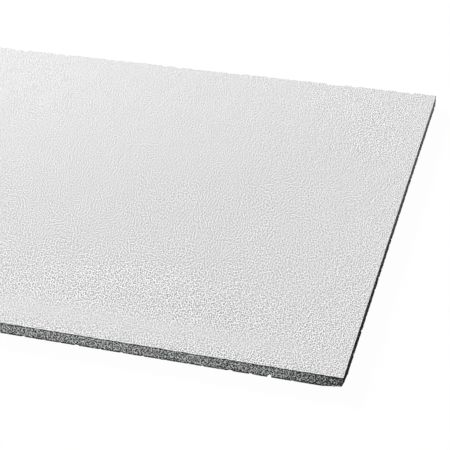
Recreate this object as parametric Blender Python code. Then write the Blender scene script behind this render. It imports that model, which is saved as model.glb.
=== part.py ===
"""Suspended ceiling tile, a lay-in mineral board with a white painted face.

The tile lies as it does on a bench: its plain back on the ground and its face up.
In a ceiling it is turned over, and the rim of the face bears on the grid's tees.
+X runs along the long side and +Y along the short one. The origin is the middle of
the back. Units are metres.
"""

import random

import bmesh
import bpy
from mathutils import Euler, Matrix, Vector

# The grid module, and what the tile gives up so that it drops in between the tees
GRID_LENGTH = 1.200
GRID_WIDTH = 0.600
GRID_PLAY = 0.005

# The layers: the whole tile, the painted veil on its face, and the glue under it
TILE_THICKNESS = 0.015
VEIL_THICKNESS = 0.0005
GLUE_LINE = 0.0003

# Edges: paint rolls over the veil's rim, and the sawn board has worn arrises
PAINT_ROUND = 0.0002
ARRIS_WEAR = 0.0004
ROUND_SEGMENTS = 2
CIRCULAR_PROFILE = 0.5

# The bruised corner, at the +X end of the front edge. It is crushed flat twice: from
# below, and more steeply from the end. Each flat meets the front arris, the end arris
# and the upright one at these distances from the corner. The last two say how round
# the ridge between the flats is, and with how many facets.
UNDER_RUN = 0.0240
UNDER_RETURN = 0.0260
UNDER_RISE = 0.0034
END_RUN = 0.0014
END_RETURN = 0.0120
END_RISE = 0.0136
RIDGE_RADIUS = 0.0020
RIDGE_SEGMENTS = 4

# The largest crumb lost from the front edge's lower arris: its place from the
# bruised end, half its length along the edge, its reach into the board and its turn
BITE_FROM_END = 0.0756
BITE_HALF_LENGTH = 0.0018
BITE_REACH = 0.0042
BITE_TURN = (0.3, 0.2, 0.1)

# The small crumbs lost all along the lower arris: their spacing, the least and the
# most that one reaches into the board, and how much longer than deep one may be.
# Each falls in the middle half of its step and is turned by up to so many radians.
CRUMB_PITCH = 0.022
MIDDLE_HALF = (0.25, 0.75)
CRUMB_LEAST = 0.0008
CRUMB_MOST = 0.0016
CRUMB_STRETCH = 1.6
CRUMB_TURNS = (0.1, 1.4)
CRUMB_SEED = 11
CRUMB_SUBDIVISIONS = 1

# The two finishes: linear colour and roughness
CORE_COLOUR = (0.16, 0.165, 0.165, 1.0)
CORE_ROUGHNESS = 0.95
PAINT_COLOUR = (0.73, 0.735, 0.73, 1.0)
PAINT_ROUGHNESS = 0.8

# Worked out from the above
TILE_LENGTH = GRID_LENGTH - GRID_PLAY
TILE_WIDTH = GRID_WIDTH - GRID_PLAY
CORE_THICKNESS = TILE_THICKNESS - GLUE_LINE - VEIL_THICKNESS
VEIL_BOTTOM = CORE_THICKNESS + GLUE_LINE


def clear_scene():
    """Removes every object that the scene starts with."""
    for item in list(bpy.data.objects):
        bpy.data.objects.remove(item, do_unlink=True)


def add_collection(name):
    """A collection of this name in the scene."""
    collection = bpy.data.collections.new(name)
    bpy.context.scene.collection.children.link(collection)
    return collection


def make_finish(name, colour, roughness):
    """A Principled material with no metal in it."""
    finish = bpy.data.materials.new(name)
    finish.use_nodes = True
    shader = finish.node_tree.nodes["Principled BSDF"]
    shader.inputs["Base Color"].default_value = colour
    shader.inputs["Roughness"].default_value = roughness
    shader.inputs["Metallic"].default_value = 0.0
    finish.diffuse_color = colour
    return finish


def add_object(name, shape, collection):
    """Turns a bmesh into an object of this name in the collection."""
    mesh = bpy.data.meshes.new(name)
    shape.to_mesh(mesh)
    shape.free()
    item = bpy.data.objects.new(name, mesh)
    collection.objects.link(item)
    return item


def slab(length, width, bottom, top):
    """A box centred on the Z axis between two heights."""
    shape = bmesh.new()
    bmesh.ops.create_cube(shape, size=1.0)
    bmesh.ops.scale(shape, vec=(length, width, top - bottom), verts=shape.verts)
    bmesh.ops.translate(shape, vec=(0.0, 0.0, (bottom + top) / 2), verts=shape.verts)
    return shape


def touches_level(edge, height):
    """Whether at least one end of the edge lies at this height."""
    return any(abs(vertex.co.z - height) < GLUE_LINE / 10 for vertex in edge.verts)


def round_arrises(shape, height, radius):
    """Rounds the four arrises at this height and the four upright ones."""
    edges = [edge for edge in shape.edges if touches_level(edge, height)]
    bmesh.ops.bevel(
        shape,
        geom=edges,
        offset=radius,
        segments=ROUND_SEGMENTS,
        profile=CIRCULAR_PROFILE,
        affect="EDGES",
    )


def slice_off(shape, on_plane, outward):
    """Cuts away what lies outside a plane, and closes the cut with one face."""
    everything = shape.verts[:] + shape.edges[:] + shape.faces[:]
    cut = bmesh.ops.bisect_plane(
        shape, geom=everything, plane_co=on_plane, plane_no=outward, clear_outer=True
    )
    rim = [item for item in cut["geom_cut"] if isinstance(item, bmesh.types.BMEdge)]
    bmesh.ops.contextual_create(shape, geom=rim)


def crushed_flat(run, back, rise):
    """The outward direction of a flat that leaves the corner at these three distances,
    and how far along it the flat lies."""
    corner = Vector((TILE_LENGTH / 2, -TILE_WIDTH / 2, 0.0))
    outward = Vector((1 / run, -1 / back, -1 / rise)).normalized()
    on_front_arris = corner + Vector((-run, 0.0, 0.0))
    return outward, outward.dot(on_front_arris)


def bruise_corner(shape):
    """Crushes the corner with two flats, and rounds the ridge where they meet.

    The ridge is a cylinder that touches both flats. Its axis lies one radius inside
    each of them, and each facet stands one radius off that axis, on a direction that
    turns from the first flat's to the second's.
    """
    under, under_level = crushed_flat(UNDER_RUN, UNDER_RETURN, UNDER_RISE)
    end, end_level = crushed_flat(END_RUN, END_RETURN, END_RISE)
    across = Vector((0.0, 1.0, 0.0))
    levels = Vector((under_level - RIDGE_RADIUS, end_level - RIDGE_RADIUS, -TILE_WIDTH / 2))
    on_axis = Matrix((under, end, across)).inverted() @ levels
    for facet in range(RIDGE_SEGMENTS + 1):
        outward = under.lerp(end, facet / RIDGE_SEGMENTS).normalized()
        slice_off(shape, on_axis + outward * RIDGE_RADIUS, outward)


def lower_arrises():
    """The start, direction and length of each lower arris, front edge first."""
    half_length = TILE_LENGTH / 2
    half_width = TILE_WIDTH / 2
    return (
        (Vector((half_length, -half_width, 0.0)), Vector((-1, 0, 0)), TILE_LENGTH),
        (Vector((-half_length, -half_width, 0.0)), Vector((0, 1, 0)), TILE_WIDTH),
        (Vector((-half_length, half_width, 0.0)), Vector((1, 0, 0)), TILE_LENGTH),
        (Vector((half_length, half_width, 0.0)), Vector((0, -1, 0)), TILE_WIDTH),
    )


def small_crumbs():
    """Where each small crumb was lost: its middle, its direction, half length and reach.

    One crumb falls in each step along an arris, at a random place in the step's
    middle half. Most are small: the size follows the square of a random share.
    Steps that the bruise or the bite has already taken are left out.
    """
    chance = random.Random(CRUMB_SEED)
    crumbs = []
    for start, along, length in lower_arrises():
        steps = int(length / CRUMB_PITCH)
        for step in range(steps):
            place = (step + chance.uniform(*MIDDLE_HALF)) * length / steps
            reach = CRUMB_LEAST + (CRUMB_MOST - CRUMB_LEAST) * chance.random() ** 2
            half_length = reach * chance.uniform(1.0, CRUMB_STRETCH)
            middle = start + along * place
            if is_sound(middle):
                crumbs.append((middle, along, half_length, reach))
    return crumbs


def is_sound(place):
    """Whether the arris is whole here, clear of the bruise, the bite and the corners."""
    half_length = TILE_LENGTH / 2
    half_width = TILE_WIDTH / 2
    from_end = half_length - place.x
    from_front = place.y + half_width
    clear = CRUMB_PITCH / 2
    in_bruise = from_end < UNDER_RUN + clear and from_front < UNDER_RETURN + clear
    in_bite = from_front < CRUMB_MOST and abs(from_end - BITE_FROM_END) < clear
    return not in_bruise and not in_bite


def add_lump(shape, middle, along, half_length, reach, turn):
    """Adds one rounded lump to the cutter, turned at random and stretched along the arris."""
    up = Vector((0, 0, 1))
    frame = Matrix((along, up.cross(along), up)).transposed()
    size = Matrix.Diagonal((half_length, reach, reach))
    placed = Matrix.Translation(middle) @ (frame @ size @ turn.to_matrix()).to_4x4()
    bmesh.ops.create_icosphere(
        shape, subdivisions=CRUMB_SUBDIVISIONS, radius=1.0, matrix=placed
    )


def add_crumb_cutter(collection):
    """One cutter that holds every crumb lost from the lower arris."""
    chance = random.Random(CRUMB_SEED)
    shape = bmesh.new()
    bite = Vector((TILE_LENGTH / 2 - BITE_FROM_END, -TILE_WIDTH / 2, 0.0))
    add_lump(shape, bite, Vector((-1, 0, 0)), BITE_HALF_LENGTH, BITE_REACH, Euler(BITE_TURN))
    for middle, along, half_length, reach in small_crumbs():
        turn = Euler([chance.uniform(*CRUMB_TURNS) for _ in range(3)])
        add_lump(shape, middle, along, half_length, reach, turn)
    cutter = add_object("crumb_cutter", shape, collection)
    cutter.hide_render = True
    cutter.display_type = "WIRE"
    return cutter


def add_board(collection, cutters):
    """The sawn mineral board, with its worn arrises, bruised corner and lost crumbs."""
    shape = slab(TILE_LENGTH, TILE_WIDTH, 0.0, CORE_THICKNESS)
    round_arrises(shape, 0.0, ARRIS_WEAR)
    bruise_corner(shape)
    board = add_object("mineral_board", shape, collection)
    board.data.materials.append(make_finish("mineral_core", CORE_COLOUR, CORE_ROUGHNESS))
    crumbs = board.modifiers.new("lost_crumbs", "BOOLEAN")
    crumbs.operation = "DIFFERENCE"
    crumbs.solver = "EXACT"
    crumbs.object = add_crumb_cutter(cutters)
    return board


def add_veil(collection):
    """The painted veil that covers the face, flush with the board's sawn edges."""
    shape = slab(TILE_LENGTH, TILE_WIDTH, VEIL_BOTTOM, TILE_THICKNESS)
    round_arrises(shape, TILE_THICKNESS, PAINT_ROUND)
    veil = add_object("face_veil", shape, collection)
    veil.data.materials.append(make_finish("white_paint", PAINT_COLOUR, PAINT_ROUGHNESS))
    return veil


def main():
    clear_scene()
    tile = add_collection("suspended_ceiling_tile")
    cutters = add_collection("tile_cutters")
    add_board(tile, cutters)
    add_veil(tile)


main()
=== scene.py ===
# %% [markdown]
# # Dressing a suspended ceiling tile
#
# The tile is a flat mineral board with a thin white painted veil on its face. Its
# size and its two solids are settled already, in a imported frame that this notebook
# loads. What is left is everything that the hand and the eye notice: the dimpled
# grain of the paint, the crumbly sawn edges, the bruised corner, and the light.
#
# The new surfaces are all worked out with numpy. A whole surface is one array of
# points, so a formula is written once and every point follows it.

import math
import random

import bpy
import numpy as np
from mathutils import Matrix, Vector


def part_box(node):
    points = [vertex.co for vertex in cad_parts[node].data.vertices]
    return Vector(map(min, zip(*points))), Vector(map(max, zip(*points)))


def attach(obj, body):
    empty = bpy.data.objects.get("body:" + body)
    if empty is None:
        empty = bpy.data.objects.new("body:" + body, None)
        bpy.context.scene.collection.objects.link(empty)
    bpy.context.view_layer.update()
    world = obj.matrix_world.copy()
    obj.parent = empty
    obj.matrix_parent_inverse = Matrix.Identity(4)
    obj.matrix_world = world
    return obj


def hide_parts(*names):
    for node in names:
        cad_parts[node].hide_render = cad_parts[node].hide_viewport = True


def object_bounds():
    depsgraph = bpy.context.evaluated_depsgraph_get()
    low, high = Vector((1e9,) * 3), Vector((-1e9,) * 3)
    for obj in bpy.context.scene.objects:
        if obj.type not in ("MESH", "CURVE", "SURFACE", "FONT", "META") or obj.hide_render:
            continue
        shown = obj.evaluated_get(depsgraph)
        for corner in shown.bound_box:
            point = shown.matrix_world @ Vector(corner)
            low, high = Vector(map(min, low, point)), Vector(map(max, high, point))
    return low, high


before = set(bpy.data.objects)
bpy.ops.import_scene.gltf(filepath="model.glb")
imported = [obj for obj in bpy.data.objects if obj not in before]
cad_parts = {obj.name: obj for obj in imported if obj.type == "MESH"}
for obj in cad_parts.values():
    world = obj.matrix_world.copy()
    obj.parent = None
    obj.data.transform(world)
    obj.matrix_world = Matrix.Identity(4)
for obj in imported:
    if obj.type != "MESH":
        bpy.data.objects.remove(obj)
cad_low, cad_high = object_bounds()
_, board_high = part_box("mineral_board")
veil_low, veil_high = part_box("face_veil")
print("Tile, in millimetres:", [round(side * 1000, 1) for side in cad_high - cad_low])

# %% [markdown]
# ## The sizes that everything follows
#
# The outer box comes from the frame, so the dressed tile cannot drift from it. The
# damage is repeated here by its sizes: a corner crushed flat from below and from
# the end, one crumb that left a clear notch, and the small ones lost all along.

# %% Sizes
HALF_LENGTH = cad_high.x
HALF_WIDTH = cad_high.y
FACE_LEVEL = veil_high.z
BOARD_TOP = board_high.z
VEIL_BOTTOM = veil_low.z

UNDER_RUN = 0.0240
UNDER_RETURN = 0.0260
UNDER_RISE = 0.0034
END_RUN = 0.0014
END_RETURN = 0.0120
END_RISE = 0.0136
RIDGE_RADIUS = 0.0020
RIDGE_SEGMENTS = 4

BITE_FROM_END = 0.0756
BITE_HALF_LENGTH = 0.0018
BITE_REACH = 0.0042

CRUMB_PITCH = 0.022
MIDDLE_HALF = (0.25, 0.75)
CRUMB_LEAST = 0.0008
CRUMB_MOST = 0.0016
CRUMB_STRETCH = 1.6
CRUMB_SEED = 11

ARRIS_WEAR = 0.0004
levels_mm = [round(level * 1000, 2) for level in (FACE_LEVEL, BOARD_TOP)]
print("Levels of the face and of the board's top, in millimetres:", levels_mm)

# %% [markdown]
# ## The camera comes first
#
# The photograph looks down on the tile from the front and a little from the right.
# A camera is easiest to place by what it does: how far round it stands, how far
# above the horizon, and how much it is tilted about its own line of sight. Its
# place is given from the near right corner of the face, which it sees best.

# %% Camera
CAMERA_AZIMUTH = math.radians(16.976)
CAMERA_ELEVATION = math.radians(33.884)
CAMERA_ROLL = math.radians(-1.793)
CAMERA_FROM_CORNER = Vector((0.1974, -1.0294, 0.8856))
CAMERA_LENS_MM = 110.5
SENSOR_MM = 36.0
CLIP_START = 0.01


def add_object(name, data):
    """A new object of this name, linked into the scene."""
    item = bpy.data.objects.new(name, data)
    bpy.context.scene.collection.objects.link(item)
    return item


def add_camera():
    """A camera turned up from straight down, then round the tile, and rolled last."""
    data = bpy.data.cameras.new("tile_camera")
    data.lens = CAMERA_LENS_MM
    data.sensor_width = SENSOR_MM
    data.clip_start = CLIP_START
    camera = add_object("tile_camera", data)
    round_tile = Matrix.Rotation(CAMERA_AZIMUTH, 4, "Z")
    raised = Matrix.Rotation(math.pi / 2 - CAMERA_ELEVATION, 4, "X")
    rolled = Matrix.Rotation(CAMERA_ROLL, 4, "Z")
    corner = Vector((HALF_LENGTH, -HALF_WIDTH, FACE_LEVEL))
    place = Matrix.Translation(corner + CAMERA_FROM_CORNER)
    camera.matrix_world = place @ round_tile @ raised @ rolled
    bpy.context.scene.camera = camera
    return camera


camera = add_camera()
print("Camera stands at", [round(value, 3) for value in camera.matrix_world.translation])

# %% [markdown]
# ## A white floor that still holds a shadow
#
# The floor looks white to the camera and yet keeps the tile's shadow: a share of
# what the camera sees is plain white, and the rest is the lit floor. The sky is a
# plain grey that fills what the lamps leave, and white where the camera sees it.
#
# Every material from here on is a tree of nodes. One call makes a node and says what
# goes into each of its inputs: a plain value, or the output of another node.

# %% Node helpers
def set_input(tree, socket, value):
    """Links an input to another node's output, or gives it a plain value."""
    if isinstance(value, bpy.types.NodeSocket):
        tree.links.new(value, socket)
    else:
        socket.default_value = value


def add_node(tree, kind, at=(0, 0), **values):
    """A shader node with its properties and its inputs set by name."""
    made = tree.nodes.new(kind)
    made.location = at
    for name, value in values.items():
        if hasattr(made, name):
            setattr(made, name, value)
        else:
            set_input(tree, made.inputs[name.replace("_", " ")], value)
    return made


def add_math(tree, operation, at, *values, kind="ShaderNodeMath"):
    """What a math node gives, with its inputs set in their order."""
    made = add_node(tree, kind, at, operation=operation)
    for socket, value in zip(made.inputs, values, strict=False):
        set_input(tree, socket, value)
    return made.outputs[0]


def empty_tree(owner):
    """The node tree of a new material or world, with nothing in it."""
    owner.use_nodes = True
    owner.node_tree.nodes.clear()
    return owner.node_tree


def mix_shaders(tree, share, first, second):
    """The first shader, which goes over to the second one by this share."""
    mixed = add_node(tree, "ShaderNodeMixShader", (300, 0), Fac=share)
    tree.links.new(first.outputs[0], mixed.inputs[1])
    tree.links.new(second.outputs[0], mixed.inputs[2])
    return mixed.outputs[0]


# %% Floor and sky
FLOOR_HALF = 12.0
FLOOR_DROP = 0.0004
FLOOR_PALE = (0.20, 0.20, 0.20, 1.0)
PLAIN_WHITE = (1.0, 1.0, 1.0, 1.0)
WHITE_SHARE = 0.90
WHITE_STRENGTH = 1.09
SKY_STRENGTH = 0.06


def white_floor_material():
    """White for the camera and for reflections, with the lit floor's shadow mixed in.

    The white gives no light, so the renderer is told not to look for any there. It
    would waste most of its samples on the floor and leave the grain noisy.
    """
    material = bpy.data.materials.new("white_floor")
    material.cycles.emission_sampling = "NONE"
    tree = empty_tree(material)
    rays = add_node(tree, "ShaderNodeLightPath", (-400, 200)).outputs
    seen = add_math(tree, "MAXIMUM", (-200, 200), rays["Is Camera Ray"], rays["Is Glossy Ray"])
    share = add_math(tree, "MULTIPLY", (0, 250), seen, WHITE_SHARE)
    lit = add_node(tree, "ShaderNodeBsdfDiffuse", (0, 100), Color=FLOOR_PALE)
    white = add_node(tree, "ShaderNodeEmission", (0, -100), Color=PLAIN_WHITE)
    white.inputs["Strength"].default_value = WHITE_STRENGTH
    mixed = mix_shaders(tree, share, lit, white)
    add_node(tree, "ShaderNodeOutputMaterial", (600, 0), Surface=mixed)
    return material


def add_floor():
    """A wide square of floor just under the tile."""
    corners = np.array([[-1, -1], [1, -1], [1, 1], [-1, 1]]) * FLOOR_HALF
    points = [(x, y, -FLOOR_DROP) for x, y in corners]
    mesh = bpy.data.meshes.new("floor")
    mesh.from_pydata(points, [], [(0, 1, 2, 3)])
    mesh.materials.append(white_floor_material())
    floor = add_object("floor", mesh)


def set_sky():
    """Plain grey light from all round, and white where the camera sees it."""
    world = bpy.data.worlds.new("studio")
    world.cycles.sampling_method = "NONE"
    tree = empty_tree(world)
    rays = add_node(tree, "ShaderNodeLightPath", (-200, 200)).outputs
    white = add_node(tree, "ShaderNodeBackground", (0, -150), Color=PLAIN_WHITE, Strength=1.0)
    fill = add_node(tree, "ShaderNodeBackground", Color=PLAIN_WHITE, Strength=SKY_STRENGTH)
    mixed = mix_shaders(tree, rays["Is Camera Ray"], fill, white)
    add_node(tree, "ShaderNodeOutputWorld", (600, 0), Surface=mixed)
    bpy.context.scene.world = world


add_floor()
set_sky()
print("The floor is", 2 * FLOOR_HALF, "metres wide and the sky's strength is", SKY_STRENGTH)

# %% [markdown]
# ## Soft light from far off
#
# White on white only reads if the light has a direction. One large lamp stands far
# off, behind the left end and the far side, and falls on the face at a low angle. So
# every dimple of the paint has a light and a dark side, and the whole face is only a
# little brighter towards the lamp.
#
# The sawn edges face away from it. They get two strips of light that stand just over
# the floor, lower than the face, so they cannot reach the paint and flatten its
# grain. One stands in front and the other behind the right end: that is why the near
# edge darkens to the right, and the end edge towards the corner. Painted shade on the
# board darkens both edges further near that corner.

# %% Lamps
KEY_PLACE = (-10.9, 10.8, 6.6)
KEY_TARGET = (0.2, 0.0, 0.0)
KEY_WIDTH = 3.4
KEY_POWER = 6480.0
STRIP_LEVEL = 0.0068
STRIP_HEIGHT = 0.0120
FRONT_PLACE = (0.28, -0.95, STRIP_LEVEL)
FRONT_TARGET = (0.34, -0.3, STRIP_LEVEL)
FRONT_WIDTH = 0.60
FRONT_POWER = 5.5
REAR_PLACE = (1.10, 0.75, STRIP_LEVEL)
REAR_TARGET = (0.6, 0.2, STRIP_LEVEL)
REAR_WIDTH = 0.20
REAR_POWER = 3.4


def add_lamp(name, place, target, power, width, height):
    """A rectangular lamp at a place, turned towards a target."""
    data = bpy.data.lights.new(name, "AREA")
    data.shape = "RECTANGLE"
    data.size = width
    data.size_y = height
    data.energy = power
    lamp = add_object(name, data)
    lamp.location = place
    lamp.rotation_euler = (Vector(target) - Vector(place)).to_track_quat("-Z", "Y").to_euler()


add_lamp("key_lamp", KEY_PLACE, KEY_TARGET, KEY_POWER, KEY_WIDTH, KEY_WIDTH)
add_lamp("front_strip", FRONT_PLACE, FRONT_TARGET, FRONT_POWER, FRONT_WIDTH, STRIP_HEIGHT)
add_lamp("rear_strip", REAR_PLACE, REAR_TARGET, REAR_POWER, REAR_WIDTH, STRIP_HEIGHT)
bpy.context.scene.view_settings.view_transform = "Standard"

# %% [markdown]
# ## From an array of points to a mesh
#
# Blender wants a flat list of coordinates and, for each face, the numbers of its
# corners. Both can be whole arrays. On a grid that closes on itself the four
# corners of every face are the same four arrays, shifted by a row or a column.

# %% Mesh helpers
def ring_faces(rows, columns, first=0):
    """Faces between successive rings of points, each ring closed on itself.

    Corner numbers are row times columns plus column, and the next column wraps round.
    """
    row, column = np.meshgrid(np.arange(rows - 1), np.arange(columns), indexing="ij")
    after = (column + 1) % columns
    here = row * columns
    below = here + columns
    corners = np.stack([here + column, below + column, below + after, here + after], axis=-1)
    return first + corners.reshape(-1, 4)


def fan_faces(ring, pole):
    """Triangles from a closed ring of point numbers to one pole, in the ring's order."""
    return np.stack([ring, np.roll(ring, -1), np.full_like(ring, pole)], axis=-1)


def store_mask(piece, name, values):
    """Keeps one number per point on the mesh, for its finish to read by name."""
    mask = piece.data.attributes.new(name, "FLOAT", "POINT")
    mask.data.foreach_set("value", np.asarray(values, np.float32).ravel())


def make_mesh(name, points, quads, triangles):
    """A smooth-shaded mesh object from arrays of points, quads and triangles."""
    mesh = bpy.data.meshes.new(name)
    loops = np.concatenate([quads.ravel(), triangles.ravel()]).astype(np.int32)
    sizes = np.concatenate([np.full(len(quads), 4), np.full(len(triangles), 3)])
    starts = np.concatenate([[0], np.cumsum(sizes)[:-1]]).astype(np.int32)
    mesh.vertices.add(len(points))
    mesh.loops.add(len(loops))
    mesh.polygons.add(len(sizes))
    mesh.vertices.foreach_set("co", np.asarray(points, np.float32).ravel())
    mesh.loops.foreach_set("vertex_index", loops)
    mesh.polygons.foreach_set("loop_start", starts)
    mesh.update(calc_edges=True)
    mesh.validate()
    mesh.polygons.foreach_set("use_smooth", np.ones(len(sizes), bool))
    print(name, "has", len(points), "points and", len(quads) * 2 + len(triangles), "triangles")
    return add_object(name, mesh)


# %% [markdown]
# ## Roughness that can be counted on
#
# Nothing here may change from one run to the next, so chance comes from a seeded
# generator. Raw random numbers are too jagged for a surface. Averaging each with
# its neighbours turns them into soft lumps, and more passes make broader ones.

# %% Soft random fields
def soft_noise(shape, passes, seed):
    """Random numbers averaged with their neighbours, then scaled to unit spread.

    Each pass replaces a value by half itself and a quarter of each neighbour, along
    both directions. The ends of a row count as neighbours, so a ring has no seam.
    """
    field = np.random.default_rng(seed).normal(size=shape)
    for _ in range(passes):
        for axis in (0, 1):
            before = np.roll(field, 1, axis)
            after = np.roll(field, -1, axis)
            field = field / 2 + (before + after) / 4
    return (field - field.mean()) / field.std()


print("Spread of a soft field:", round(float(soft_noise((8, 8), 1, 1).std()), 3))

# %% [markdown]
# ## The path round the board
#
# The sawn edge is one profile carried round the tile's plan. The path is the plan
# itself: four straight runs with a small round between them. Each point also knows
# which way is outward, because crumbs fall off in that direction.

# %% The path
EDGE_PITCH = 0.00112
CORNER_TURNS = 3


def plan_path(half_length, half_width, radius, pitch):
    """Points round a rounded rectangle, anticlockwise from the near left, and outward ways.

    A corner is an arc about a centre one radius inside both sides. A run joins the
    end of one arc to the start of the next, with points at an even pitch.
    """
    centres = np.array([[1, -1], [1, 1], [-1, 1], [-1, -1]], float)
    centres *= (half_length - radius, half_width - radius)
    points, outward = [], []
    for side, centre in enumerate(centres):
        angle = np.radians(-90 + 90 * side + np.linspace(0, 90, CORNER_TURNS + 1))
        way = np.stack([np.cos(angle), np.sin(angle)], axis=-1)
        arc = centre + radius * way
        start = centres[side - 1] + radius * way[0]
        count = int(np.linalg.norm(arc[0] - start) / pitch)
        share = np.arange(1, count)[:, None] / count
        points += [start + (arc[0] - start) * share, arc]
        outward += [np.repeat(way[:1], count - 1, axis=0), way]
    return np.concatenate(points), np.concatenate(outward)


path, outward = plan_path(HALF_LENGTH, HALF_WIDTH, ARRIS_WEAR, EDGE_PITCH)
print("The path has", len(path), "points, one every", round(EDGE_PITCH * 1000, 2), "mm")

# %% [markdown]
# ## The profile of the board
#
# Seen in section, the board's surface starts under the veil, comes out to the sawn
# side, runs down it, rolls over the worn lower arris and goes in along the back.
# Each row of points is one step along that profile: how far in it lies, how high,
# and how far it has turned from facing outward to facing down.

# %% The profile
SIDE_ROWS = 14
SIDE_FIRST_DROP = 0.0003
ARRIS_ROWS = 3
BACK_INSETS = np.array([0.0016, 0.0028, 0.0046, 0.0080, 0.0160, 0.0400, 0.1000])
TOP_INSET = 0.0030


def board_profile():
    """Inset, height and turn of each row, from under the veil to far in on the back.

    The side's second row lies close under the first, so that the shading has turned
    the corner before it can be seen.
    """
    evenly = np.linspace(BOARD_TOP - SIDE_FIRST_DROP, ARRIS_WEAR, SIDE_ROWS - 1)
    side_height = np.append(BOARD_TOP, evenly)
    turn = np.radians(np.linspace(0, 90, ARRIS_ROWS + 1))[1:]
    arris_inset = ARRIS_WEAR * (1 - np.cos(turn))
    arris_height = ARRIS_WEAR * (1 - np.sin(turn))
    inset = np.concatenate([[TOP_INSET], np.zeros(SIDE_ROWS), arris_inset, BACK_INSETS])
    height = np.concatenate([[BOARD_TOP], side_height, arris_height, np.zeros(len(BACK_INSETS))])
    quarter = np.full(len(BACK_INSETS), math.pi / 2)
    turned = np.concatenate([[0.0], np.zeros(SIDE_ROWS), turn, quarter])
    return inset, height, turned


def carry_round(path, inset, height):
    """The profile carried round the path: each row is the path shrunk by its inset.

    Along each axis the path is scaled by one less the inset over the half size, so
    every side moves in by exactly the inset and no two points cross.
    """
    shrink = 1 - inset[:, None] / np.array([HALF_LENGTH, HALF_WIDTH])
    plan = path[None, :, :] * shrink[:, None, :]
    level = np.broadcast_to(height[:, None, None], plan.shape[:2] + (1,))
    return np.concatenate([plan, level], axis=-1)


inset, height, turned = board_profile()
board_points = carry_round(path, inset, height)
print("The board's grid is", board_points.shape[0], "rows by", board_points.shape[1], "columns")

# %% [markdown]
# ## The bruised corner
#
# A dropped board lands on a corner, and soft mineral fibre crushes flat. Each flat
# is a plane. A point that sticks out past the plane is moved straight back onto it,
# by its distance from the plane, and points already inside stay. A few more planes
# between the two flats round the ridge where they meet.

# %% Bruise
LEAST_MOVE = 0.00001


def crushed_plane(run, back, rise):
    """A plane that meets the three arrises at these distances from the corner."""
    way = np.array([1 / run, -1 / back, -1 / rise])
    way /= np.linalg.norm(way)
    return way, float(way @ (HALF_LENGTH - run, -HALF_WIDTH, 0.0))


def bruise_planes():
    """The two flats, and the planes that turn from one to the other round the ridge.

    The ridge's axis lies one radius inside both flats. Each plane in between stands
    one radius off that axis, facing a direction part of the way round.
    """
    under, under_level = crushed_plane(UNDER_RUN, UNDER_RETURN, UNDER_RISE)
    end, end_level = crushed_plane(END_RUN, END_RETURN, END_RISE)
    levels = np.array([under_level - RIDGE_RADIUS, end_level - RIDGE_RADIUS, -HALF_WIDTH])
    on_axis = np.linalg.solve(np.array([under, end, (0.0, 1.0, 0.0)]), levels)
    planes = []
    for step in range(RIDGE_SEGMENTS + 1):
        way = under + (end - under) * step / RIDGE_SEGMENTS
        way /= np.linalg.norm(way)
        planes.append((way, float(way @ on_axis) + RIDGE_RADIUS))
    return planes


def press_back(points, planes, passes=3):
    """Moves each point outside a plane back onto it, by its distance from the plane."""
    for _ in range(passes):
        for way, level in planes:
            excess = np.maximum(points @ way - level, 0.0)
            points = points - excess[..., None] * way
    return points


bruised = press_back(board_points, bruise_planes())
moved = np.linalg.norm(bruised - board_points, axis=-1)
print("The bruise moves", int((moved > LEAST_MOVE).sum()), "points")
print("The furthest moves by", round(moved.max() * 1000, 1), "mm")

# %% [markdown]
# ## Crumbs lost from the lower arris
#
# A saw and a few journeys take small crumbs off the lower arris. Each leaves a
# rounded hollow, part of an ellipsoid whose middle lies on the arris. A point that
# falls inside the ellipsoid is pushed up and in, along the diagonal, until it lies
# on its surface. The order of the random draws fixes which crumbs are where.

# %% Crumbs
def lower_arrises():
    """The start, direction and length of each lower arris, front edge first."""
    length, width = 2 * HALF_LENGTH, 2 * HALF_WIDTH
    return (
        ((HALF_LENGTH, -HALF_WIDTH), (-1, 0), length),
        ((-HALF_LENGTH, -HALF_WIDTH), (0, 1), width),
        ((-HALF_LENGTH, HALF_WIDTH), (1, 0), length),
        ((HALF_LENGTH, HALF_WIDTH), (0, -1), width),
    )


def is_sound(x, y):
    """Whether the arris is whole here, clear of the bruise and of the large notch."""
    from_end = HALF_LENGTH - x
    from_front = y + HALF_WIDTH
    clear = CRUMB_PITCH / 2
    in_bruise = from_end < UNDER_RUN + clear and from_front < UNDER_RETURN + clear
    in_bite = from_front < CRUMB_MOST and abs(from_end - BITE_FROM_END) < clear
    return not in_bruise and not in_bite


def lost_crumbs():
    """Every crumb as its middle, its direction, its half length and its reach."""
    chance = random.Random(CRUMB_SEED)
    crumbs = [((HALF_LENGTH - BITE_FROM_END, -HALF_WIDTH), (-1, 0), BITE_HALF_LENGTH, BITE_REACH)]
    for start, along, length in lower_arrises():
        steps = int(length / CRUMB_PITCH)
        for step in range(steps):
            place = (step + chance.uniform(*MIDDLE_HALF)) * length / steps
            reach = CRUMB_LEAST + (CRUMB_MOST - CRUMB_LEAST) * chance.random() ** 2
            half_length = reach * chance.uniform(1.0, CRUMB_STRETCH)
            middle = (start[0] + along[0] * place, start[1] + along[1] * place)
            if is_sound(*middle):
                crumbs.append((middle, along, half_length, reach))
    return crumbs


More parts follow.
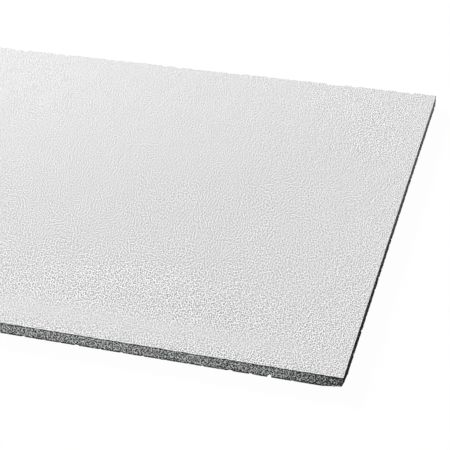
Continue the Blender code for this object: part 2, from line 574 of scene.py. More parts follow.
def hollow_out(points, middle, along, half_length, reach):
    """Pushes the points inside one ellipsoid onto its surface, along the diagonal.

    In the ellipsoid's own measure a point q is inside when its length is under one.
    Pushed by t along a unit way w it lies on the surface when q + t w has length
    one, so t = -b + sqrt(b b + 1 - q q), with b the part of q along w.
    """
    along = np.array([*along, 0.0])
    inward = np.cross((0.0, 0.0, 1.0), along) * -1
    off = points - np.array([*middle, 0.0])
    own = np.stack([off @ along / half_length, off @ inward / reach, off[..., 2] / reach], axis=-1)
    inside = (own**2).sum(axis=-1) < 1
    part = (own[inside, 1] + own[inside, 2]) / math.sqrt(2)
    push = -part + np.sqrt(part**2 + 1 - (own[inside] ** 2).sum(axis=-1))
    way = (inward + (0.0, 0.0, 1.0)) / math.sqrt(2)
    points[inside] += (push * reach)[:, None] * way
    return int(inside.sum())


worn = bruised.copy()
crumbs = lost_crumbs()
touched = [hollow_out(worn, *crumb) for crumb in crumbs]
print(len(crumbs), "crumbs lost, which moved", sum(touched), "points")

# %% [markdown]
# ## The crumbly sawn surface
#
# Felted mineral fibre doesn't cut clean. The saw tears grains out, so the side is a
# field of shallow pits with a few deep ones. Every point goes inward by a depth
# made of two soft random fields, a fine one and a broader one. The direction turns
# with the profile: straight in on the side, upward on the back. The two ends are
# cut across the felt, so they tear more deeply.
#
# The far rim stands out against the white floor, and there it shows small teeth. They
# are chips that the saw broke off the board's top, with the paint on it. A chip is
# deepest at the top and dies away a few millimetres down.

# %% Crumble
SIDE_DEPTH = 0.00050
SIDE_TURN = 1.5
CRUMBLE_MIDDLE = 0.45
CRUMBLE_BY_FINE = 0.30
CRUMBLE_BY_BROAD = 0.12
MOST_SHARE = 1.6
PIT_DEPTH = 0.0008
PIT_RARITY = 1.5
END_DEEPER = 1.6
BACK_DEPTH = 0.00018
BACK_FADE = 0.0060
BROAD_PASSES = 8
PIT_PASSES = 2
FINE_SEED, BROAD_SEED, PIT_SEED, CHIP_SEED = 21, 22, 23, 24

CHIP_PITCH = 0.0034
CHIP_DEPTH = 0.0027
CHIP_REACH_DOWN = 0.0045
CHIP_RARITY = 0.25
CHIP_MOST_SHARE = 1.8
STRAIGHT_OUT = 0.99


def far_chips(x):
    """How deep the saw chipped the far rim at these places along it.

    A seeded row of random numbers stands along the rim, one every pitch, and only
    those above the rarity leave a chip. Places in between take a straight share of
    the two beside them.
    """
    count = int(2 * HALF_LENGTH / CHIP_PITCH)
    table = soft_noise((1, count), 0, CHIP_SEED)[0]
    share = np.clip(table - CHIP_RARITY, 0.0, CHIP_MOST_SHARE)
    return CHIP_DEPTH * np.interp(x, np.linspace(-HALF_LENGTH, HALF_LENGTH, count), share)


def crumble_depth(inset, turned, columns):
    """How far in each point goes: a share of the row's own depth, never negative.

    The share is a middle value plus a fine and a broad field. A third field is high
    in a few places, and there a pit adds to it. Rows that have turned by less than
    the side's turn belong to the side. The back's depth dies away with the inset, and
    the row under the veil stays put.
    """
    shape = (len(inset), columns)
    fine = CRUMBLE_BY_FINE * soft_noise(shape, 0, FINE_SEED)
    broad = CRUMBLE_BY_BROAD * soft_noise(shape, BROAD_PASSES, BROAD_SEED)
    share = np.clip(CRUMBLE_MIDDLE + fine + broad, 0.0, MOST_SHARE)
    pits = np.clip(soft_noise(shape, PIT_PASSES, PIT_SEED) - PIT_RARITY, 0.0, 1.0)
    on_side = turned < SIDE_TURN
    row_depth = np.where(on_side, SIDE_DEPTH, BACK_DEPTH * np.exp(-inset / BACK_FADE))
    row_pits = np.where(on_side, PIT_DEPTH, 0.0)
    row_depth[0] = row_pits[0] = 0.0
    return row_depth[:, None] * share + row_pits[:, None] * pits


depth = crumble_depth(inset, turned, len(path)) * (1 + END_DEEPER * np.abs(outward[:, 0]))
near_top = np.clip(1 - (BOARD_TOP - height) / CHIP_REACH_DOWN, 0.0, 1.0) * (inset == 0.0)
on_far_side = outward[:, 1] > STRAIGHT_OUT
depth += near_top[:, None] * on_far_side * far_chips(path[:, 0])
sideways = -np.cos(turned)[:, None, None] * outward[None, :, :]
upward = np.broadcast_to(np.sin(turned)[:, None, None], depth.shape + (1,))
crumbled = worn + depth[..., None] * np.concatenate([sideways, upward], axis=-1)
print("The saw went in by", round(depth.mean() * 1000, 2), "mm on average")
print("Its deepest pit or chip is", round(depth.max() * 1000, 2), "mm")

# %% [markdown]
# ## The board as one closed skin
#
# The rows of the profile make rings, the rings make faces, and the two ends close
# on a single point each: one hidden under the veil, one in the middle of the back.
#
# One number travels with each point, and the finish reads it and gets darker. It is high
# at both arrises and in the bruise, where torn fibre is partly darker in its own colour
# and partly painted shade in its crevices. It is raised as painted shade right under the
# veil's edge, and round the bruised corner, so that the near and end edges darken there.

# %% Board
FIRST_BACK_ROW = 1 + SIDE_ROWS + ARRIS_ROWS
# Darkening at the lower arris and in the bruise: torn fibre, partly painted shade in its crevices
ARRIS_DARKENING_REACH = 0.0030
# Painted shade under the veil's edge: how far down it reaches, and how strong it is
VEIL_EDGE_SHADE_REACH = 0.0020
VEIL_EDGE_SHADE = 0.6
BRUISE_DARKENING_SCALE = 0.0008
# Painted shade round the bruised corner: how far it reaches along the near and the end edge, and how
# strong it is on each
CORNER_SHADE_REACH = (0.060, 0.300)
CORNER_SHADE_SHARE = (0.75, 0.40)


def make_board(points):
    """Rings of quads down the side and in along the back, closed by two fans."""
    rows, columns = points.shape[:2]
    top_pole = rows * columns
    quads = ring_faces(rows, columns)
    top_fan = fan_faces(np.arange(columns), top_pole)
    last_ring = np.arange(columns)[::-1] + (rows - 1) * columns
    back_fan = fan_faces(last_ring, top_pole + 1)
    poles = [(0.0, 0.0, BOARD_TOP), (0.0, 0.0, 0.0)]
    every = np.concatenate([points.reshape(-1, 3), poles])
    board = make_mesh("board", every, quads, np.concatenate([top_fan, back_fan]))
    is_back = np.zeros(len(board.data.polygons), np.int32)
    is_back[FIRST_BACK_ROW * columns : len(quads)] = 1
    is_back[len(quads) + columns :] = 1
    board.data.polygons.foreach_set("material_index", is_back)
    return board


board = make_board(crumbled)
# The lowest rows darken where the arris is torn, partly as painted shade; the top rows darken as
# painted shade under the veil's edge
torn_levels = [0.0, ARRIS_DARKENING_REACH, BOARD_TOP - VEIL_EDGE_SHADE_REACH, BOARD_TOP]
by_row = np.interp(height, torn_levels, [1.0, 0.0, 0.0, VEIL_EDGE_SHADE])
by_row[FIRST_BACK_ROW:] = 0.0
torn_and_shade = np.maximum(by_row[:, None], np.clip(moved / BRUISE_DARKENING_SCALE, 0.0, 1.0))
# Painted shade: the near and end edges darken towards the bruised corner
from_corner = np.hypot(*((path - (HALF_LENGTH, -HALF_WIDTH)) / CORNER_SHADE_REACH).T)
corner_shade = np.abs(outward) @ CORNER_SHADE_SHARE * np.clip(1 - from_corner, 0.0, 1.0)
corner_shade = corner_shade * (np.arange(len(height)) < FIRST_BACK_ROW)[:, None]
store_mask(board, "torn_and_shade", np.append((torn_and_shade + corner_shade).ravel(), [0.0, 0.0]))

# %% [markdown]
# ## The painted veil
#
# The face is a height field: a grid of points whose height is the paint's relief,
# a fine grain over a softer unevenness. The grid's border is carried on over the
# rim's roll, down the rim and closed underneath.

# %% Face
FACE_PITCH = 0.00285
PAINT_ROLL = 0.00030
SHOULDER = 0.00050
RELIEF_LEVEL = 0.00010
GRAIN_RELIEF = 0.000035
WAVE_RELIEF = 0.000025
WAVE_PASSES = 10
GRAIN_SEED, WAVE_SEED = 31, 32


def side_line(half):
    """Places from side to side: an even pitch, and one narrow step to each rim.

    The narrow step keeps the face flat right up to the roll, where the shading turns.
    """
    flat = half - PAINT_ROLL - SHOULDER
    evenly = np.linspace(-flat, flat, int(2 * flat / FACE_PITCH) + 1)
    return np.concatenate([[PAINT_ROLL - half], evenly, [half - PAINT_ROLL]])


def face_grid():
    """Points of the face, lowered by a grain and by waves, one value per point.

    The relief only goes down from the level of the face, so the tallest grain sets
    the tile's thickness. The outermost points take the height of their neighbours,
    because a random step across so narrow a gap would stand up like a wall.
    """
    plan_x, plan_y = np.meshgrid(side_line(HALF_LENGTH), side_line(HALF_WIDTH))
    grain = GRAIN_RELIEF * soft_noise(plan_x.shape, 0, GRAIN_SEED)
    waves = WAVE_RELIEF * soft_noise(plan_x.shape, WAVE_PASSES, WAVE_SEED)
    low = np.maximum(RELIEF_LEVEL + grain + waves, 0.0)
    low[[0, -1], :] = low[[1, -2], :]
    low[:, [0, -1]] = low[:, [1, -2]]
    return np.stack([plan_x, plan_y, FACE_LEVEL - low], axis=-1)


def grid_faces(rows, columns):
    """Faces of an open grid: corner numbers are row times columns plus column."""
    row, column = np.meshgrid(np.arange(rows - 1), np.arange(columns - 1), indexing="ij")
    here = row * columns + column
    return np.stack([here, here + 1, here + columns + 1, here + columns], axis=-1).reshape(-1, 4)


def border_ring(rows, columns):
    """Numbers of a grid's border points, anticlockwise from its first point."""
    number = np.arange(rows * columns).reshape(rows, columns)
    sides = (number[0, :-1], number[:-1, -1], number[-1, :0:-1], number[:0:-1, 0])
    return np.concatenate(sides)


face = face_grid()
print("The face is a grid of", face.shape[0], "by", face.shape[1], "points")

# %% [markdown]
# ## Fraying the rim
#
# The saw frays the rim. A fray is a table of depths along one side, drawn at random
# for each side. A point between two entries takes a straight share of both. All
# points near that side move in by it: fully at the rim, and less and less further in.
# The same function serves the face, the roll and the rim, so they keep together
# however deep the saw went.

# %% Fray
LONG_FRAY = 0.00050
END_FRAY = 0.00012
FRAY_FADE = 0.0070
FRAY_MIDDLE = 0.5
FRAY_SPREAD = 0.5
NEAR_SEED, FAR_SEED, LEFT_SEED, RIGHT_SEED = 41, 42, 43, 44


def fray_depth(along, half, most, seed):
    """How far the saw frayed one side at these places along it."""
    count = int(2 * half / FACE_PITCH)
    table = FRAY_MIDDLE + FRAY_SPREAD * soft_noise((1, count), 0, seed)[0]
    share = np.clip(table, 0.0, MOST_SHARE)
    return most * np.interp(along, np.linspace(-half, half, count), share)


def fray_weight(place, half, side):
    """One on the rim of this side, less further in, and nothing past the fade."""
    from_side = half - side * place
    return np.clip((FRAY_FADE - from_side) / (FRAY_FADE - PAINT_ROLL - SHOULDER), 0.0, 1.0)


def frayed(points):
    """The points moved inward from each side by that side's fray and weight.

    The far side follows the chips of the board under it too.
    """
    x, y = points[..., 0], points[..., 1]
    near = fray_depth(x, HALF_LENGTH, LONG_FRAY, NEAR_SEED)
    far = fray_depth(x, HALF_LENGTH, LONG_FRAY, FAR_SEED) + far_chips(x)
    left = fray_depth(y, HALF_WIDTH, END_FRAY, LEFT_SEED)
    right = fray_depth(y, HALF_WIDTH, END_FRAY, RIGHT_SEED)
    near, far = near * fray_weight(y, HALF_WIDTH, -1), far * fray_weight(y, HALF_WIDTH, 1)
    left, right = left * fray_weight(x, HALF_LENGTH, -1), right * fray_weight(x, HALF_LENGTH, 1)
    return np.stack([x + left - right, y + near - far, points[..., 2]], axis=-1)


fray_moves = np.linalg.norm(frayed(face) - face, axis=-1)
print("The saw frays the face by up to", round(float(fray_moves.max()) * 1000, 1), "mm")


# %% [markdown]
# ## Where the paint is worn by rubbing, and where light is painted on
#
# Tiles are packed face to face and rub against each other. So a number travels with
# each point of the veil: how far the dimples are worn down there. Towards the far left,
# where the lamp is, the same number rises as painted light, and the face turns plainer
# and brighter there. The finish reads it and turns plain and smooth where it is high.

# %% Rubbed paint
STRIP_FROM_RIM = 0.034
STRIP_INNER_WIDTH = 0.016
STRIP_OUTER_WIDTH = 0.030
STRIP_RUB = 0.50
LAMP_SIDE_LIGHT = 0.50
# Painted light towards the lamp at the far left: how strong it is, and how it rises across and along
# the tile
SOFT_START = 0.40
SOFT_BY_WIDTH = 0.90
SOFT_BY_LENGTH = 0.60
END_FADE = 0.15
END_RUB = 0.42


def rubbed_and_lit_share(x, y):
    """How far the dimples give way to plain paint at each place of the tile.

    A bell along the near rim, wider on its outer side, stands for the strip that
    shows smoother there, where the tiles rub. A slow rise towards the far rim, and away
    from the right end, is painted light: plainer, brighter paint towards the lamp at the
    far left. The right end is worn by rubbing too, and less and less further in. The
    strongest of the three counts.
    """
    off = y + HALF_WIDTH - STRIP_FROM_RIM
    strip = np.exp(-((off / np.where(off < 0, STRIP_OUTER_WIDTH, STRIP_INNER_WIDTH)) ** 2))
    soft = SOFT_START + SOFT_BY_WIDTH * y / HALF_WIDTH - SOFT_BY_LENGTH * x / HALF_LENGTH
    end = 1 - (HALF_LENGTH - x) / END_FADE
    lamp_side_light = LAMP_SIDE_LIGHT * np.clip(soft, 0.0, 1.0)
    end_share = END_RUB * np.clip(end, 0.0, 1.0)
    return np.max((STRIP_RUB * strip, lamp_side_light, end_share), axis=0)


# In the far left corner this share is painted light, not wear
far_left = float(rubbed_and_lit_share(-HALF_LENGTH, HALF_WIDTH))
print("The paint is rubbed by", round(far_left, 2), "in the far left corner")


# %% [markdown]
# ## The veil as one closed skin
#
# The face, the seam to its rim, the rim and a fan underneath make one closed skin.
# A second number travels with each point: whether it lies on the rim, where the
# finish paints a highlight along the edge. It stops short of the far rim, where the saw took the paint
# off.

# %% Veil
ROLL_TURNS = 3
RIM_HIGHLIGHT_TO = 0.9


def rim_rings(border):
    """The border carried over the roll and down the rim, before the saw frays it.

    Each ring lies at its own inset and drop along a quarter round, and the last one
    goes straight down to the glue line. A ring's plan is the border's, scaled so
    that it stands at its inset from every side.
    """
    turn = np.radians(np.linspace(0, 90, ROLL_TURNS + 1))[1:]
    inset = np.append(PAINT_ROLL * (1 - np.sin(turn)), 0.0)
    drop = np.append(PAINT_ROLL * (1 - np.cos(turn)), FACE_LEVEL - VEIL_BOTTOM)
    half = np.array([HALF_LENGTH, HALF_WIDTH])
    plan = border[None, :, :2] * ((half - inset[:, None]) / (half - PAINT_ROLL))[:, None, :]
    level = np.broadcast_to((FACE_LEVEL - drop)[:, None, None], plan.shape[:2] + (1,))
    return np.concatenate([plan, np.minimum(level, border[None, :, 2:])], axis=-1)


def make_veil(face):
    """The face, its rim and a flat underside, as one closed skin."""
    rows, columns = face.shape[:2]
    ring = border_ring(rows, columns)
    face = face.reshape(-1, 3)
    rings = rim_rings(face[ring])
    count = len(ring)
    first = len(face)
    join = np.stack([ring, first + np.arange(count)])
    after = np.roll(join, -1, axis=1)
    seam = np.stack([join[0], join[1], after[1], after[0]], axis=-1)
    rim = ring_faces(len(rings), count, first)
    pole = first + len(rings) * count
    last = np.arange(pole - count, pole)[::-1]
    points = frayed(np.concatenate([face, rings.reshape(-1, 3), [(0.0, 0.0, VEIL_BOTTOM)]]))
    quads = np.concatenate([grid_faces(rows, columns), seam, rim])
    veil = make_mesh("veil", points, quads, fan_faces(last, pole))
    on_rim = np.zeros(len(points))
    on_rim[ring] = on_rim[first:pole] = 1.0
    # The rim mask brings a painted highlight along the edge; the far rim doesn't get it
    store_mask(veil, "rim", on_rim * (points[:, 1] < RIM_HIGHLIGHT_TO * HALF_WIDTH))
    store_mask(veil, "rubbed_and_lit", rubbed_and_lit_share(points[:, 0], points[:, 1]))
    return veil


veil = make_veil(face)

# %% [markdown]
# ## One grain for every finish
#
# The board is made of mineral grains, and they show three times: as light and dark
# crumbs on the sawn edge, as a finer print on the pressed back, and as dust on the
# paint. So the grain is one node group, and only its size and its share of pits
# differ. It cuts space into cells, gives each cell a tone of its own and a rounded
# height, and marks a few of them as pits.

# %% Grain group
ORIGIN = (0.0, 0.0, 0.0)
DUST_IN_TONE = 0.45
PIT_BRIM = 0.45
PIT_MIDDLE = 0.20


def new_group(name, inputs, outputs):
    """A node group with its named inputs and outputs, and what comes into it.

    Each input has its usual value, a number or a vector. Each output is a number.
    """
    group = bpy.data.node_groups.new(name, "ShaderNodeTree")
    for label, usual in inputs.items():
        kind = "NodeSocketFloat" if isinstance(usual, float) else "NodeSocketVector"
        socket = group.interface.new_socket(label, in_out="INPUT", socket_type=kind)
        socket.default_value = usual
    for label in outputs:
        group.interface.new_socket(label, in_out="OUTPUT", socket_type="NodeSocketFloat")
    print("Group", name, "gives", ", ".join(outputs))
    return group, add_node(group, "NodeGroupInput", (-1100, 0)).outputs


def add_mix(tree, kind, share, first, second, at):
    """The first value, which goes over to the second one by this share."""
    made = add_node(tree, "ShaderNodeMix", at, data_type=kind, Factor=share, A=first, B=second)
    return made.outputs["Result"]


def add_grain_group():
    """Cells of random tone and domed height, with a rare few turned into pits.

    Space is divided by the grain's size, so a size in metres goes in. The height is
    one less the distance to the cell's middle. A cell is a pit when its own random
    number is below the pit share. A fine dust adds to both the tone and the height.
    """
    usual = {"Vector": ORIGIN, "Grain": 0.002, "Pit Share": 0.05}
    group, into = new_group("mineral_grain", usual, ("Tone", "Height", "Pits"))
    per_metre = add_math(group, "DIVIDE", (-700, -150), 1.0, into["Grain"])
    place = {"Vector": into["Vector"], "Scale": per_metre}
    cells = add_node(group, "ShaderNodeTexVoronoi", (-450, 150), Randomness=1.0, **place).outputs
    noise = add_node(group, "ShaderNodeTexNoise", (-450, -200), Detail=3.0, Roughness=0.6, **place)
    dust = noise.outputs["Fac"]
    own = add_node(group, "ShaderNodeSeparateColor", (-200, 250), Color=cells["Color"]).outputs
    tone = add_mix(group, "FLOAT", DUST_IN_TONE, own["Red"], dust, (100, 250))
    dome = add_math(group, "SUBTRACT", (-200, 50), 1.0, cells["Distance"])
    height = add_math(group, "ADD", (100, 0), dome, dust)
    chosen = add_math(group, "LESS_THAN", (-50, -350), own["Green"], into["Pit Share"])
    hollow = add_node(group, "ShaderNodeMapRange", (-50, -550), Value=cells["Distance"])
    hollow.inputs["From Min"].default_value = PIT_BRIM
    hollow.inputs["From Max"].default_value = PIT_MIDDLE
    pits = add_math(group, "MULTIPLY", (200, -400), chosen, hollow.outputs["Result"])
    add_node(group, "NodeGroupOutput", (700, 0), Tone=tone, Height=height, Pits=pits)
    return group


grain_group = add_grain_group()


# %% [markdown]
# ## Even dimples
#
# Two surfaces of the tile look plain from afar and finely speckled from close by.
# Paint sprayed on a glass veil dries into small dimples between the fibres, of nearly
# one size and at a nearly even spacing. A saw leaves its marks in the core in much
# the same way, one beside the other. Neither looks like loose grains, so there is a
# second group for both: flat cells, slightly disordered, each with one dimple.

# %% Dimple group
DIMPLE_DISORDER = 0.80
DIMPLE_DRIFT = 0.15
DIMPLE_DRIFT_LENGTH = 5.0
DIMPLE_BRIM = 0.57


def add_dimple_group():
    """Rounded dimples at a nearly even spacing across the plane of X and Y.

    The plane is first pushed about by a slow noise, so that no rows show. The height
    rises smoothly from nothing at each dimple's middle to one at its brim. Distances
    are in spacings, which differ along and across the tile.
    """
    usual = {"Vector": ORIGIN, "Spacing": (0.002, 0.002, 0.002)}
    group, into = new_group("dimple_coat", usual, ("Height",))
    vectors = "ShaderNodeVectorMath"
    scaled = add_math(group, "DIVIDE", (-900, 0), into["Vector"], into["Spacing"], kind=vectors)
    drift = add_node(group, "ShaderNodeTexNoise", (-700, -200), Vector=scaled, Detail=1.0)
    drift.inputs["Scale"].default_value = 1 / DIMPLE_DRIFT_LENGTH
    spread = add_node(group, vectors, (-500, -200), operation="SCALE", Vector=drift.outputs["Color"])
    spread.inputs["Scale"].default_value = DIMPLE_DRIFT * DIMPLE_DRIFT_LENGTH
    moved = add_math(group, "ADD", (-300, 0), scaled, spread.outputs[0], kind=vectors)
    middles = add_node(group, "ShaderNodeTexVoronoi", (-100, 0), voronoi_dimensions="2D", Vector=moved)
    middles.inputs["Scale"].default_value = 1.0
    middles.inputs["Randomness"].default_value = DIMPLE_DISORDER
    height = add_node(group, "ShaderNodeMapRange", (150, 100), interpolation_type="SMOOTHSTEP")
    set_input(group, height.inputs["Value"], middles.outputs["Distance"])
    height.inputs["From Min"].default_value = 0.0
    height.inputs["From Max"].default_value = DIMPLE_BRIM
    add_node(group, "NodeGroupOutput", (500, 0), Height=height.outputs["Result"])
    return group


dimple_group = add_dimple_group()


# %% [markdown]
# ## What each finish is put together from
#
# The numbers of a group are not a finish yet. A ramp turns a number into a colour, a
# mask says where on the piece it counts, and a bump turns the light a little. Each
# finish ends in one matte shader, with its constants on the shader's own inputs.

# %% Helpers for a finish
def add_grain(tree, where, grain, pit_share, at):
    """What the grain group gives at these places of the piece."""
    values = {"Vector": where, "Grain": grain, "Pit_Share": pit_share}
    return add_node(tree, "ShaderNodeGroup", at, node_tree=grain_group, **values).outputs


def add_dimples(tree, where, spacing, at):
    """The height of the dimples at these places of the piece."""
    values = {"Vector": where, "Spacing": spacing}
    made = add_node(tree, "ShaderNodeGroup", at, node_tree=dimple_group, **values)
    return made.outputs["Height"]


def add_ramp(tree, share, stops, at):
    """A colour picked by a number from a ramp of places and colours."""
    ramp = add_node(tree, "ShaderNodeValToRGB", at, Fac=share)
    elements = ramp.color_ramp.elements
    while len(elements) < len(stops):
        elements.new(0.5)
    for element, (place, colour) in zip(elements, stops, strict=True):
        element.position = place
        element.color = colour
    return ramp.outputs["Color"]


def read_mask(tree, name, at):
    """The number that a mesh keeps for each of its points."""
    return add_node(tree, "ShaderNodeAttribute", at, attribute_name=name).outputs["Fac"]


def add_bump(tree, height, distance, strength, at, below=None):
    """A bump from a height, on top of another bump where one is given.

    Its distance is how high the height stands, in metres.
    """
    values = {"Height": height, "Distance": distance, "Strength": strength}
    if below:
        values["Normal"] = below
    return add_node(tree, "ShaderNodeBump", at, **values).outputs["Normal"]


def matte_material(material, colour, normal, roughness, shine):
    """The material, ended in one matte shader that a colour and a normal feed."""
    tree = material.node_tree
    shader = add_node(tree, "ShaderNodeBsdfPrincipled", (500, 0), Base_Color=colour, Normal=normal)
    shader.inputs["Roughness"].default_value = roughness
    shader.inputs["Specular IOR Level"].default_value = shine
    add_node(tree, "ShaderNodeOutputMaterial", (900, 0), Surface=shader.outputs[0])
    return material


# %% [markdown]
# ## The sawn mineral core
#
# Up close the cut edge is pepper and salt: dark slag fibre, pale perlite and clay.
# The tone of each grain picks a colour from a ramp, larger clumps shift it, and the
# pits go nearly black because no light comes back out of them. Half of the tone comes
# from the marks of the saw. They are even dimples, hardly wider than one dot of the
# picture, each darker in its middle as painted shade in its hollow, and they keep the
# edge crisp where loose grains alone would look woolly.

# %% Core finish
CORE_DARK = (0.009, 0.010, 0.010, 1.0)
CORE_GREY = (0.080, 0.084, 0.083, 1.0)
CORE_PALE = (0.240, 0.250, 0.248, 1.0)
CORE_WHITE = (0.540, 0.555, 0.550, 1.0)
CORE_STOPS = ((0.49, CORE_DARK), (0.61, CORE_GREY), (0.67, CORE_PALE), (0.74, CORE_WHITE))
CORE_ROUGHNESS = 0.95
MINERAL_SHINE = 0.25
CORE_GRAIN = 0.0009
CORE_GRAIN_BUMP = (0.0009, 0.9)
CORE_PIT_SHARE = 0.14
CORE_CLUMP = 0.0038
CORE_CLUMP_BUMP = (0.0012, 0.35)
CLUMPS_IN_TONE = 0.08
TOOTH_SPACING = (0.00185, 0.00215, 0.00185)
TEETH_IN_TONE = 0.50
TORN_AND_SHADE_STRENGTH = 0.25


def add_teeth(tree, where):
    """The marks of the saw: dimples over the sum of x and y and over the height.

    On the near side only x changes in that sum, and on an end only y, so the one
    pattern serves all four sides.
    """
    parts = add_node(tree, "ShaderNodeSeparateXYZ", (-1500, -400), Vector=where).outputs
    along = add_math(tree, "ADD", (-1300, -400), parts["X"], parts["Y"])
    upright = add_node(tree, "ShaderNodeCombineXYZ", (-1100, -400), X=along, Y=parts["Z"])
    return add_dimples(tree, upright.outputs[0], TOOTH_SPACING, (-900, -400))


def sawn_core_material():
    """Grains, clumps and saw marks in one tone, coloured by a ramp, darkened by pits."""
    material = bpy.data.materials.new("sawn_core")
    tree = empty_tree(material)
    where = add_node(tree, "ShaderNodeTexCoord", (-1700, 0)).outputs["Object"]
    grains = add_grain(tree, where, CORE_GRAIN, CORE_PIT_SHARE, (-900, 200))
    clumps = add_grain(tree, where, CORE_CLUMP, 0.0, (-900, -100))
    torn_and_shade = read_mask(tree, "torn_and_shade", (-900, 450))
    tone = add_mix(tree, "FLOAT", CLUMPS_IN_TONE, grains["Tone"], clumps["Tone"], (-700, 150))
    # The saw marks add painted shade: each mark is darker in its middle
    toothed = add_mix(tree, "FLOAT", TEETH_IN_TONE, tone, add_teeth(tree, where), (-550, 0))
    # Darker where the fibre is torn, and by painted shade under the veil's edge and round the bruised
    # corner
    shade = add_math(tree, "MULTIPLY", (-700, 400), torn_and_shade, TORN_AND_SHADE_STRENGTH)
    shaded = add_math(tree, "SUBTRACT", (-400, 250), toothed, shade)
    colour = add_ramp(tree, shaded, CORE_STOPS, (-250, 150))
    pitted = add_mix(tree, "RGBA", grains["Pits"], colour, CORE_DARK, (50, 150))
    below = add_bump(tree, clumps["Height"], *CORE_CLUMP_BUMP, (0, -250))
    normal = add_bump(tree, grains["Height"], *CORE_GRAIN_BUMP, (250, -250), below)
    return matte_material(material, pitted, normal, CORE_ROUGHNESS, MINERAL_SHINE)


board.data.materials.append(sawn_core_material())
print("The sawn core goes through", len(CORE_STOPS), "colours")


# %% [markdown]
# ## The pressed back
#
# The back was pressed against a wire belt while it was wet. It is a little paler
# and smoother than the sawn edge, and the belt leaves a faint crossed pattern.

# %% Back finish
BACK_GREY = (0.190, 0.194, 0.186, 1.0)
BACK_PALE = (0.270, 0.274, 0.262, 1.0)
BACK_STOPS = ((0.25, BACK_GREY), (0.75, BACK_PALE))
BACK_ROUGHNESS = 0.92
BACK_GRAIN = 0.0017
BACK_GRAIN_BUMP = (0.0004, 0.6)
BACK_PIT_SHARE = 0.05
BACK_CLOUD = 0.028
CLOUDS_IN_TONE = 0.4
BELT_PITCH = 0.0042
BELT_BUMP = (0.00025, 0.5)


def belt_marks(tree, where):
    """The height of the belt's print: the product of two sines, one along each side."""
    parts = add_node(tree, "ShaderNodeSeparateXYZ", (-900, -300), Vector=where).outputs
    waves = []
    for axis, drop in (("X", -300), ("Y", -480)):
        turn = add_math(tree, "MULTIPLY", (-700, drop), parts[axis], 2 * math.pi / BELT_PITCH)
        waves.append(add_math(tree, "SINE", (-500, drop), turn))
    return add_math(tree, "MULTIPLY", (-300, -300), *waves)


def pressed_back_material():
    """A paler core, with the belt's print under a fine grain."""
    material = bpy.data.materials.new("pressed_back")
    tree = empty_tree(material)
    where = add_node(tree, "ShaderNodeTexCoord", (-1200, 0)).outputs["Object"]
    grains = add_grain(tree, where, BACK_GRAIN, BACK_PIT_SHARE, (-800, 250))
    clouds = add_grain(tree, where, BACK_CLOUD, 0.0, (-800, 0))
    tone = add_mix(tree, "FLOAT", CLOUDS_IN_TONE, grains["Tone"], clouds["Tone"], (-550, 150))
    colour = add_ramp(tree, tone, BACK_STOPS, (-350, 150))
    # The pits go nearly black here too, as painted shade
    pitted = add_mix(tree, "RGBA", grains["Pits"], colour, CORE_DARK, (0, 150))
    below = add_bump(tree, belt_marks(tree, where), *BELT_BUMP, (0, -250))
    normal = add_bump(tree, grains["Height"], *BACK_GRAIN_BUMP, (250, -250), below)
    return matte_material(material, pitted, normal, BACK_ROUGHNESS, MINERAL_SHINE)


board.data.materials.append(pressed_back_material())
print("The board's finishes:", [finish.name for finish in board.data.materials])


# %% [markdown]
# ## The white paint
#
# A dimple is hardly wider than one dot of the picture, so a bump alone would be
# averaged away. Most of the dimple's shadow is therefore given as colour, by a ramp
# over its height: dark in the middle and white from the brim on. A bump of the same
# height turns the light a little on top of that, and a finer dust covers both. A
# dimple is longer across the tile than along it, and the whole pattern lies at an
# angle to the tile, as the veil's fibres do.
#
# Where the paint is worn by rubbing, and towards the far left where light is painted
# on, the colour goes to one plain white and the bump fades.
# The rim goes to one plain white too, because the paint closed there in a roll, and
# that white is brighter than the face around it, as a painted highlight along the edge.

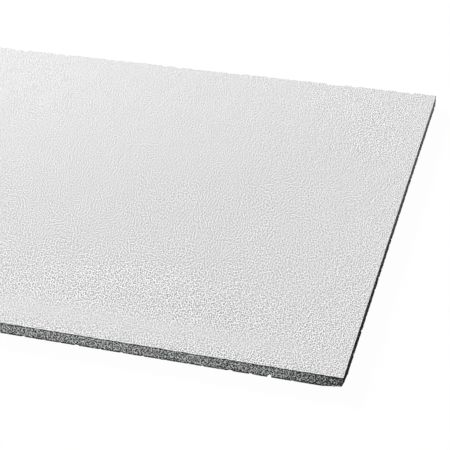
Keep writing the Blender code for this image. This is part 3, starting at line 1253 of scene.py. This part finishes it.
# %% Paint finish
PAINT_WHITE = (0.994, 0.989, 0.992, 1.0)
PAINT_SHADE = (0.015, 0.015, 0.015, 1.0)
PAINT_RUBBED_AND_LIT = (0.765, 0.762, 0.764, 1.0)
PAINT_RIM_HIGHLIGHT = (0.880, 0.880, 0.880, 1.0)
PAINT_ROUGHNESS = 0.82
PAINT_SHINE = 0.3
DIMPLE_WHITE_FROM = 0.82
DIMPLE_STOPS = ((0.0, PAINT_SHADE), (DIMPLE_WHITE_FROM, PAINT_WHITE))
DIMPLE_SPACING = (0.00170, 0.00290, 0.00170)
DIMPLE_DEPTH = 0.00040
VEIL_TURN = (0.0, 0.0, -0.467)
DUST_GRAIN = 0.0011
DUST_BUMP = (0.00015, 0.8)
PINHOLE = (0.330, 0.330, 0.330, 1.0)
PINHOLE_SHARE = 0.004


def dimpled_paint_material():
    """Near-white paint, darker in its dimples, with fine dust over it."""
    material = bpy.data.materials.new("dimpled_paint")
    tree = empty_tree(material)
    where = add_node(tree, "ShaderNodeTexCoord", (-1200, 0)).outputs["Object"]
    turned = add_node(tree, "ShaderNodeMapping", (-1000, 300), Vector=where, Rotation=VEIL_TURN)
    dimples = add_dimples(tree, turned.outputs["Vector"], DIMPLE_SPACING, (-700, 300))
    dust = add_grain(tree, where, DUST_GRAIN, PINHOLE_SHARE, (-800, -100))
    rim = read_mask(tree, "rim", (-800, 450))
    rubbed_and_lit = read_mask(tree, "rubbed_and_lit", (-800, 650))
    whole = add_math(tree, "SUBTRACT", (-350, -250), 1.0, rubbed_and_lit)
    colour = add_ramp(tree, dimples, DIMPLE_STOPS, (-350, 150))
    # Plain paint where it is worn by rubbing, and painted light towards the far left
    smooth = add_mix(tree, "RGBA", rubbed_and_lit, colour, PAINT_RUBBED_AND_LIT, (-100, 400))
    holed = add_mix(tree, "RGBA", dust["Pits"], smooth, PINHOLE, (50, 150))
    # A painted highlight along the rim
    rim_highlighted = add_mix(tree, "RGBA", rim, holed, PAINT_RIM_HIGHLIGHT, (250, 250))
    below = add_bump(tree, dimples, DIMPLE_DEPTH, whole, (0, -250))
    normal = add_bump(tree, dust["Height"], *DUST_BUMP, (250, -250), below)
    return matte_material(material, rim_highlighted, normal, PAINT_ROUGHNESS, PAINT_SHINE)


veil.data.materials.append(dimpled_paint_material())
print("The veil's finish:", veil.data.materials[0].name)

# %% [markdown]
# ## Hand the pieces over
#
# Each new piece takes the place of one solid and rides on the tile's one body.

# %% Finish
handed_over = (
    (board, "mineral_board", "mineral_core"),
    (veil, "face_veil", "white_paint"),
)
for piece, node, finish in handed_over:
    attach(piece, "root")
    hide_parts(node)
